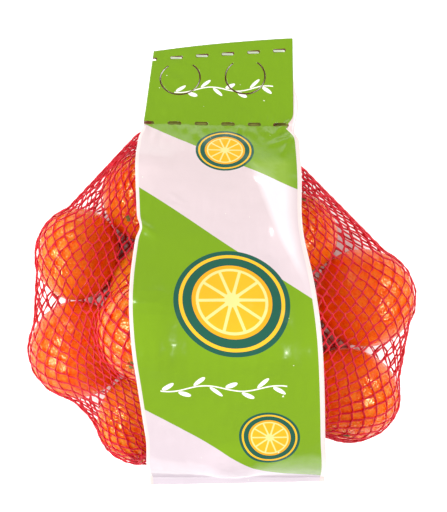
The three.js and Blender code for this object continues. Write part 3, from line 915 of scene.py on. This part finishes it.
def front_film(net, materials):
    """The strip over the fruit, from the header's top edge to the end of the flange, with its cuts."""
    span, across = front_span(net)
    lift = np.array([0, 0, LAYER])
    grid = np.concatenate([header_rows(across) + lift, span, flange_rows(across) + lift])
    uv = film_map(grid, across)
    made = crumple(grid, across)
    made[..., 2] += flap_lift(grid)
    piece = film_shell("film_front_printed", made, uv, 1, materials)
    outlines = [finger_outline(x) for x in FINGER_X]
    outlines += [slot_outline(x, row) for row in SLOT_ROWS for x in SLOT_X]
    cut_header(piece, outlines)
    dress(piece, "film_front")


def back_film(materials):
    """The strip under the fruit, whose header bulges out beside the front one's, with its own cuts."""
    rows, columns = BACK_GRID
    across = 2 * np.arange(columns + 1) / columns - 1
    y = span_places(rows)
    x = plan_middle(y)[:, None] + across * plan_half(y)[:, None]
    span = np.stack([x, y[:, None] + 0 * x, back_level(x, y[:, None])], axis=-1)
    drop = np.array([0, 0, -LAYER])
    grid = np.concatenate([header_rows(across) + drop, span, flange_rows(across) + drop])
    uv = film_map(grid, across)
    bulge = bell(grid[..., 1], WELD_Y + BULGE_UP, BULGE_SPREAD)
    grid[..., 0] += BACK_BULGE * bulge * smooth(2 * across - 1)
    piece = film_shell("film_back_printed", grid, uv, -1, materials)
    outlines = [finger_outline(x) + BACK_SLOT_SHIFT for x in FINGER_X]
    outlines += [slot_outline(x, SLOT_ROWS[1]) + BACK_SLOT_SHIFT for x in SLOT_X]
    outlines += [slot_outline(x, SLOT_ROWS[0]) + NECK_SLOT_SHIFT for x in SLOT_X]
    cut_header(piece, outlines)
    dress(piece, "film_back")


# Materials
def linear(code):
    """A colour's linear red, green and blue from its sRGB hex code, opaque."""
    parts = [int(code[k : k + 2], 16) / 255 for k in (1, 3, 5)]
    return [p / 12.92 if p <= 0.04045 else ((p + 0.055) / 1.055) ** 2.4 for p in parts] + [1.0]


def node(tree, kind, inputs=None, **settings):
    """Adds one shader node with its settings, and sets or links its inputs.

    An input is a number, a hex code, a field, a socket, or a node, which links by its first output.
    """
    made = tree.nodes.new("ShaderNode" + kind)
    for key, value in settings.items():
        setattr(made, key, value)
    for socket, value in (inputs or {}).items():
        if isinstance(value, str):
            value = linear(value)
        elif isinstance(value, Field):
            value = value.socket
        elif isinstance(value, bpy.types.Node):
            value = value.outputs[0]
        if isinstance(value, bpy.types.NodeSocket):
            tree.links.new(value, made.inputs[socket])
        else:
            made.inputs[socket].default_value = value
    return made


def new_material(name):
    """A material with an empty tree."""
    material = bpy.data.materials.new(name)
    material.use_nodes = True
    material.node_tree.nodes.clear()
    return material, material.node_tree


def surfaced(material, inputs):
    """The material with its main shader, whose sockets take the inputs."""
    tree = material.node_tree
    node(tree, "OutputMaterial", {"Surface": node(tree, "BsdfPrincipled", inputs)})
    return material


class Field:
    """A number that varies over a surface: a shader socket that arithmetic adds math nodes to."""

    def __init__(self, tree, socket):
        self.tree, self.socket = tree, socket

    def do(self, operation, *others):
        """The number after one math operation, with other numbers where it takes them."""
        made = node(self.tree, "Math", dict(enumerate((self, *others))), operation=operation)
        return Field(self.tree, made.outputs[0])

    def __add__(self, other):
        return self.do("ADD", other)

    def __sub__(self, other):
        return self.do("SUBTRACT", other)

    def __mul__(self, other):
        return self.do("MULTIPLY", other)

    def __truediv__(self, other):
        return self.do("DIVIDE", other)

    def below(self, other):
        """1 where the number is less than the other, and 0 elsewhere."""
        return self.do("LESS_THAN", other)

    def above(self, other):
        """1 where the number is more than the other, and 0 elsewhere."""
        return self.do("GREATER_THAN", other)

    def clipped(self):
        """The number kept between 0 and 1."""
        return self.do("MAXIMUM", 0.0).do("MINIMUM", 1.0)

    def off(self, other):
        """Distance of two numbers across and down."""
        return (self * self + other * other).do("SQRT")


# Numbers of a colour mix's sockets
MIX_A, MIX_B, MIX_OUT = 6, 7, 2


def toned(tree, colour, *layers):
    """A colour with others laid over it in turn, each by its share."""
    for share, over in layers:
        mix = node(tree, "Mix", {0: share, MIX_A: colour, MIX_B: over}, data_type="RGBA")
        colour = mix.outputs[MIX_OUT]
    return colour


def waxed_peel(name, deep, light, gland):
    """Waxed citrus peel: an orange that drifts over the fruit, oil glands 1.3 mm apart, and a wet gloss."""
    material, tree = new_material(name)
    place = node(tree, "TexCoord").outputs["Object"]
    drift = node(tree, "TexNoise", {"Vector": place, "Scale": 1000 / 34, "Detail": 2.0})
    glands = node(tree, "TexVoronoi", {"Vector": place, "Scale": 1000 / 1.3}, feature="SMOOTH_F1")
    pit = node(tree, "MapRange", {"Value": glands, "From Min": 0.12, "From Max": 0.55})
    pebble = node(tree, "TexNoise", {"Vector": place, "Scale": 1000 / 1.6, "Detail": 1.0})
    rough = node(tree, "Bump", {"Height": pebble, "Distance": 0.00036, "Strength": 0.8})
    bump = node(tree, "Bump", {"Height": pit, "Distance": 0.00015, "Strength": 0.8, "Normal": rough})
    inputs = {
        "Base Color": toned(tree, gland, (pit, toned(tree, deep, (drift, light)))),
        "Normal": bump,
        "Roughness": 0.17,
        "Specular IOR Level": 0.75,
        "Specular Tint": "#ffe2a8",
        "Subsurface Weight": 1.0,
        "Subsurface Radius": (1.0, 0.06, 0.02),
        "Subsurface Scale": 0.05,
    }
    return surfaced(material, inputs)


def dried_calyx():
    """Dried calyx: olive green going brown in patches, dull."""
    material, tree = new_material("dried_calyx")
    place = node(tree, "TexCoord").outputs["Object"]
    patch = node(tree, "TexNoise", {"Vector": place, "Scale": 1000 / 2.2, "Detail": 3.0})
    bump = node(tree, "Bump", {"Height": patch, "Distance": 0.0003})
    colour = toned(tree, "#5d6a26", (patch, "#8f7a3c"))
    return surfaced(material, {"Base Color": colour, "Normal": bump, "Roughness": 0.75})


def red_filament():
    """Drawn polyethylene filament, dyed red: a satin shine with small bright glints where it twists."""
    material, tree = new_material("red_polyethylene_filament")
    place = node(tree, "TexCoord").outputs["Object"]
    drift = node(tree, "TexNoise", {"Vector": place, "Scale": 1000 / 14, "Detail": 2.0})
    streak = node(tree, "TexNoise", {"Vector": place, "Scale": 1000 / 0.9, "Detail": 1.0})
    bump = node(tree, "Bump", {"Height": streak, "Distance": 0.0003, "Strength": 0.6})
    inputs = {
        "Base Color": toned(tree, "#ca122a", (drift, "#de2234")),
        "Normal": bump,
        "Roughness": 0.35,
        "Specular IOR Level": 0.25,
    }
    return surfaced(material, inputs)


# Places on the print in millimetres: across from the strip's middle, down from its top edge
PRINT_WIDE, PRINT_LONG = 100.0, 340.0
WELD_DOWN, SEAM_DOWN = 62.5, 335.2
# Painted shade along the weld on the unprinted side: its half length down the strip and half width across
WELD_SHADE_LONG, WELD_SHADE_HALF = 6.0, 45.0
MARGIN_LEFT, MARGIN_RIGHT, MARGIN_BELOW = -48.0, 47.4, 3.0

# Borders of the fields of colour: how far down at the middle, and slope
FIELD_LINES = ((92.4, 0.587), (157.5, 0.8), (293.5, 0.7))

# Roundels: across, down, radius, and what they hold as shares of it
ROUNDELS = ((3.4, 87.0, 18.0), (4.2, 196.0, 31.0), (19.0, 279.0, 17.0))
ROUNDEL_BREAKS = (140.0, 243.0)
RING_AT, RING_HALF = 0.88, 0.032
RIND, PITH, FLESH, HEART, MEMBRANE = 0.69, 0.62, 0.57, 0.09, 0.13
SEGMENTS = 10

# Sprigs: across and down of their middles, their stem's wave, and their leaves
SPRIGS = ((2.0, 36.0), (-4.0, 246.0))
SPRIG_BREAK = 120.0
SPRIG_HALF, SPRIG_WAVE, SPRIG_BEND, SPRIG_STEM = 34.0, 1.8, 0.16, 0.42
LEAF_PITCH, LEAF_LONG, LEAF_WIDE, LEAF_OUT, LEAF_TURN = 8.5, 3.9, 1.3, 3.1, 0.6

# Painted light and shade on the print: painted shade as a brown rim round the cuts, a painted highlight on
# the fold that stands off the fruit, painted shade at the end toward the seam, and painted glints as white
# flecks
CUT_SHADE_REACH = 0.3
FOLD_EDGE, FOLD_DOWN, FOLD_LEAN, FOLD_OUTER, FOLD_TOP = 20.0, 108.0, 0.3, 47.0, 92.0
FOLD_SHARP, FOLD_FADE = 4.0, 7.0
SEAM_SHADE_FROM, SEAM_SHADE_FADE = 298.0, 26.0
GLINT_FLECK_ABOVE = 0.82


def print_places(tree):
    """Across and down on the strip's print, from its map."""
    split = node(tree, "SeparateXYZ", {0: node(tree, "UVMap", uv_map="print")})
    across = (Field(tree, split.outputs[0]) - 0.5) * PRINT_WIDE
    return across, (Field(tree, split.outputs[1]) - 1) * -MAP_LENGTH


def pick(down, breaks, values):
    """The value for the stretch of the strip that a place lies on."""
    total = down * 0 + values[0]
    for at, before, after in zip(breaks, values, values[1:]):
        total = total + down.above(at) * (after - before)
    return total


def roundels(tree, colour, across, down):
    """Dark discs with a yellow ring round a cut citrus wheel of ten segments, one on each field."""
    x0, y0, radius = (pick(down, ROUNDEL_BREAKS, values) for values in zip(*ROUNDELS))
    x, y = (across - x0) / radius, (down - y0) / radius
    r = x.off(y)
    spoke = (y.do("ARCTAN2", x) * (SEGMENTS / 2)).do("SINE").do("ABSOLUTE") * r
    ring = (r - RING_AT).do("ABSOLUTE").below(RING_HALF)
    flesh = r.below(FLESH) * r.above(HEART) * spoke.above(MEMBRANE)
    layers = (
        (r.below(1), "#1f5a49"),
        (ring, "#f7bd2c"),
        (r.below(RIND), "#f2a81e"),
        (r.below(PITH), "#f6dc8c"),
        (flesh, "#f4b324"),
    )
    return toned(tree, colour, *layers)


def sprigs(across, down):
    """White sprigs: a wavy stem with oval leaves to either side by turns."""
    x0, y0 = (pick(down, (SPRIG_BREAK,), values) for values in zip(*SPRIGS))
    x = across - x0
    y = down - y0 - (x * SPRIG_BEND).do("SINE") * SPRIG_WAVE
    number = (x / LEAF_PITCH).do("FLOOR")
    side = number.do("PINGPONG", 1.0) * 2 - 1
    u = x - (number + 0.5) * LEAF_PITCH
    v = y * side - LEAF_OUT
    c, k = math.cos(LEAF_TURN), math.sin(LEAF_TURN)
    leaf = ((u * c + v * k) / LEAF_LONG).off((v * c - u * k) / LEAF_WIDE).below(1)
    stem = y.do("ABSOLUTE").below(SPRIG_STEM)
    return leaf.do("MAXIMUM", stem) * x.do("ABSOLUTE").below(SPRIG_HALF)


def cut_rim_shade(across, down):
    """Edges of the punched slots and the finger cuts, where dark brown is painted as the shade seen in the
    cuts.
    """
    s = across * (2 / PRINT_WIDE)
    full = s * HEADER_SKEW - s * s * HEADER_CROWN + (HEADER_LENGTH + HEADER_CROWN)
    along = full * (down * (-1 / WELD_DOWN) + 1)
    share = along / HEADER_LENGTH
    x = s * (share * (HEADER_HALF - WELD_HALF) + WELD_HALF) + share * HEADER_LEAN + WELD_X
    slot = (x - SLOT_FIRST) / SLOT_PITCH
    dx = ((slot - slot.do("ROUND")) * SLOT_PITCH).do("ABSOLUTE") - (SLOT_LENGTH - SLOT_WIDTH) / 2
    middle, tilt = (pick(along, (HEADER_LENGTH / 2,), values) for values in zip(*SLOT_ROWS))
    dy = along - middle - (x - WELD_X) * tilt
    slots = dx.do("MAXIMUM", 0.0).off(dy).below(SLOT_WIDTH / 2 + CUT_SHADE_REACH)
    finger = x - pick(x, (sum(FINGER_X) / 2,), FINGER_X)
    rise = along - FINGER_ALONG
    r = finger.off(rise)
    arc = (r - FINGER_RADIUS).do("ABSOLUTE").below(FINGER_WIDTH / 2 + CUT_SHADE_REACH)
    return slots.do("MAXIMUM", arc * rise.below(r * math.cos(math.radians(FINGER_OPEN))))


def fold_painted_light(across, down):
    """Where paper and ink are painted lighter down the right side, a painted highlight on the fold there,
    from a firm edge that leans out.
    """
    edge = across - FOLD_EDGE - (down - FOLD_DOWN) * FOLD_LEAN
    inside = (across - FOLD_OUTER) / -FOLD_FADE
    return (edge / FOLD_SHARP).clipped() * inside.clipped() * ((down - FOLD_TOP) / FOLD_FADE).clipped()


def film_inside():
    """The unprinted side of the film: pale and satin, with painted olive-brown shade along the weld and
    painted dark brown shade round its cuts.
    """
    material, tree = new_material("unprinted_film_side")
    across, down = print_places(tree)
    # weld_shade is painted olive-brown shade that darkens the neck slots.
    weld_shade = (down - WELD_DOWN).do("ABSOLUTE").below(WELD_SHADE_LONG) * across.do("ABSOLUTE").below(WELD_SHADE_HALF)
    # The rims of the cuts get dark brown painted shade.
    colour = toned(tree, "#f6e4e4", (cut_rim_shade(across, down), "#6b3a1c"), (weld_shade, "#74742c"))
    return surfaced(material, {"Base Color": colour, "Roughness": 0.4})


def printed_film():
    """Gravure-printed polyethylene film: flat inks under a gloss, crinkled finely by handling.

    Paper and ink are painted lighter down the right side, a painted highlight where the fold there faces
    the lamps, and painted greyer toward the seam as painted shade. Their tone drifts down the strip as
    painted light and shade set against how the lamps light its slopes, and white flecks are painted glints.
    """
    material, tree = new_material("printed_polyethylene_film")
    place = node(tree, "TexCoord").outputs["Object"]
    across, down = print_places(tree)
    line = [across * slope + level for level, slope in FIELD_LINES]
    green = down.below(line[0]).do("MAXIMUM", down.above(line[1]) * down.below(line[2]))
    margin = across.below(MARGIN_LEFT).do("MAXIMUM", across.above(MARGIN_RIGHT))
    margin = margin * down.above(WELD_DOWN + MARGIN_BELOW)
    # low is a tone drift down the strip: painted light and shade set against how the lamps light its
    # slopes.
    low = down / PRINT_LONG
    # fold is a painted highlight: paper and ink lighter down the right side, where the fold faces the
    # lamps.
    fold = fold_painted_light(across, down)
    # empty is painted shade: paper and ink greyer over the last stretch before the seam.
    empty = ((down - SEAM_SHADE_FROM) / SEAM_SHADE_FADE).clipped()
    flange = down.above(SEAM_DOWN)
    noise = node(tree, "TexNoise", {"Vector": place, "Scale": 1000 / 2.5, "Detail": 1.0})
    # glint_flecks are painted glints: white flecks where fine noise is high.
    glint_flecks = Field(tree, noise.outputs[0]).above(GLINT_FLECK_ABOVE)
    # Paper and ink: tone drift down the strip, painted highlight on the fold, painted shade toward the
    # seam, and the flange set back to a paper tone.
    paper = toned(tree, "#dcc8c7", (low, "#d9cad2"), (fold, "#efe4e7"))
    paper = toned(tree, paper, (empty, "#b8aab3"), (flange, "#dccfd8"))
    ink = toned(tree, "#759c15", (low, "#7ca218"), (fold, "#8cae3a"), (empty, "#64840f"))
    colour = toned(tree, paper, (green, ink), (margin, "#e8d8d4"))
    colour = roundels(tree, colour, across, down)
    colour = toned(tree, colour, (sprigs(across, down), "#fbf6ee"), (glint_flecks, "#f6f4e6"))
    crinkle = node(tree, "TexNoise", {"Vector": place, "Scale": 1000 / 6, "Detail": 2.0})
    inputs = {
        # Dark brown painted shade round the slots and finger cuts.
        "Base Color": toned(tree, colour, (cut_rim_shade(across, down), "#5a2a12")),
        "Normal": node(tree, "Bump", {"Height": crinkle, "Distance": 0.0005, "Strength": 0.4}),
        "Roughness": 0.2,
        "Specular IOR Level": 0.45,
    }
    return surfaced(material, inputs)


def white_table():
    """A white light table, lit from below but for the stretch under the bag, where its light fades out."""
    material, tree = new_material("white_light_table")
    split = node(tree, "SeparateXYZ", {0: node(tree, "TexCoord").outputs["Object"]})
    x = Field(tree, split.outputs[0]) / UNLIT_HALF
    y = (Field(tree, split.outputs[1]) - UNLIT_Y) / UNLIT_LONG
    lit = ((x.off(y) - UNLIT_SHARE) / UNLIT_FADE).clipped()
    inputs = {
        "Base Color": "#f7f7f7",
        "Roughness": 0.9,
        "Emission Color": toned(tree, "#000000", (lit, "#ffffff")),
        "Emission Strength": GLOW,
    }
    return surfaced(material, inputs)


# Camera, table and light, in metres
CAMERA_HEIGHT = 0.5
FRAME_LONG_PX = 512
FOCAL_PX = 743
TABLE_HALF = 3.0
GLOW, WORLD_LIGHT = 0.48, 0.36
LIGHT_AIM = 0.04

# The unlit oval of the table: half width, half length, middle, and the shares of it where light fades in
UNLIT_HALF, UNLIT_LONG, UNLIT_Y, UNLIT_SHARE, UNLIT_FADE = 0.112, 0.1, -0.04, 0.9, 0.2

# Softboxes: name, place in metres, side in metres, power in watts
SOFTBOXES = (
    ("softbox_left", (-0.78, 0.0, 0.6), 0.15, 5.2),
    ("softbox_left_front", (-0.68, -0.5, 0.5), 0.15, 3.0),
    ("softbox_right", (0.62, -0.36, 0.72), 0.15, 4.9),
    ("softbox_right_back", (0.75, 0.35, 0.55), 0.15, 3.4),
    ("softbox_left_back", (-0.55, 0.75, 0.6), 0.15, 2.8),
)


def add_camera():
    """Straight above the middle of the plan, with the lens that gives the frame its angle."""
    data = bpy.data.cameras.new("camera")
    data.sensor_width = 36.0
    data.lens = data.sensor_width * FOCAL_PX / FRAME_LONG_PX
    camera = bpy.data.objects.new("camera", data)
    camera.location = (-MIDDLE[0] * MM, -MIDDLE[1] * MM, CAMERA_HEIGHT)
    bpy.context.scene.collection.objects.link(camera)
    bpy.context.scene.camera = camera


def add_table():
    """The floor: a square at the height that the bag rests on."""
    mesh = bpy.data.meshes.new("table")
    h = TABLE_HALF
    mesh.from_pydata([(-h, -h, 0), (h, -h, 0), (h, h, 0), (-h, h, 0)], [], [(0, 1, 2, 3)])
    mesh.materials.append(white_table())
    table = bpy.data.objects.new("table", mesh)
    bpy.context.scene.collection.objects.link(table)


def add_softbox(name, place, size, power):
    """A square area light that faces the middle of the bag."""
    data = bpy.data.lights.new(name, "AREA")
    data.shape = "SQUARE"
    data.size = size
    data.energy = power
    light = bpy.data.objects.new(name, data)
    light.location = place
    back = np.array(place) - np.array([0, 0, LIGHT_AIM])
    light.rotation_euler = (math.acos(back[2] / np.linalg.norm(back)), 0, math.atan2(back[0], -back[1]))
    bpy.context.scene.collection.objects.link(light)


def add_light():
    """Even white light from all round, and the softboxes."""
    world = bpy.data.worlds.new("studio")
    world.use_nodes = True
    background = world.node_tree.nodes["Background"]
    background.inputs["Color"].default_value = (1, 1, 1, 1)
    background.inputs["Strength"].default_value = WORLD_LIGHT
    bpy.context.scene.world = world
    for softbox in SOFTBOXES:
        add_softbox(*softbox)
    bpy.context.scene.view_settings.view_transform = "Standard"


add_camera()
add_table()
add_light()
NET = taut_net()
# Two copies of the peel, deeper and paler. Which fruit gets which is partly its own colour and partly
# painted light and shade.
PEELS = (
    waxed_peel("waxed_clementine_peel", "#ff7016", "#ff881a", "#fb6816"),
    waxed_peel("waxed_clementine_peel_paler", "#ff841e", "#ff9826", "#fb781c"),
)
for fruit_number, fruit in enumerate(FRUIT):
    clementine(fruit_number, PEELS[fruit[3]])
stem_buttons(dried_calyx())
net_pieces(NET, red_filament())
PRINT, INSIDE = printed_film(), film_inside()
front_film(NET, [PRINT, INSIDE])
back_film([PRINT, INSIDE])
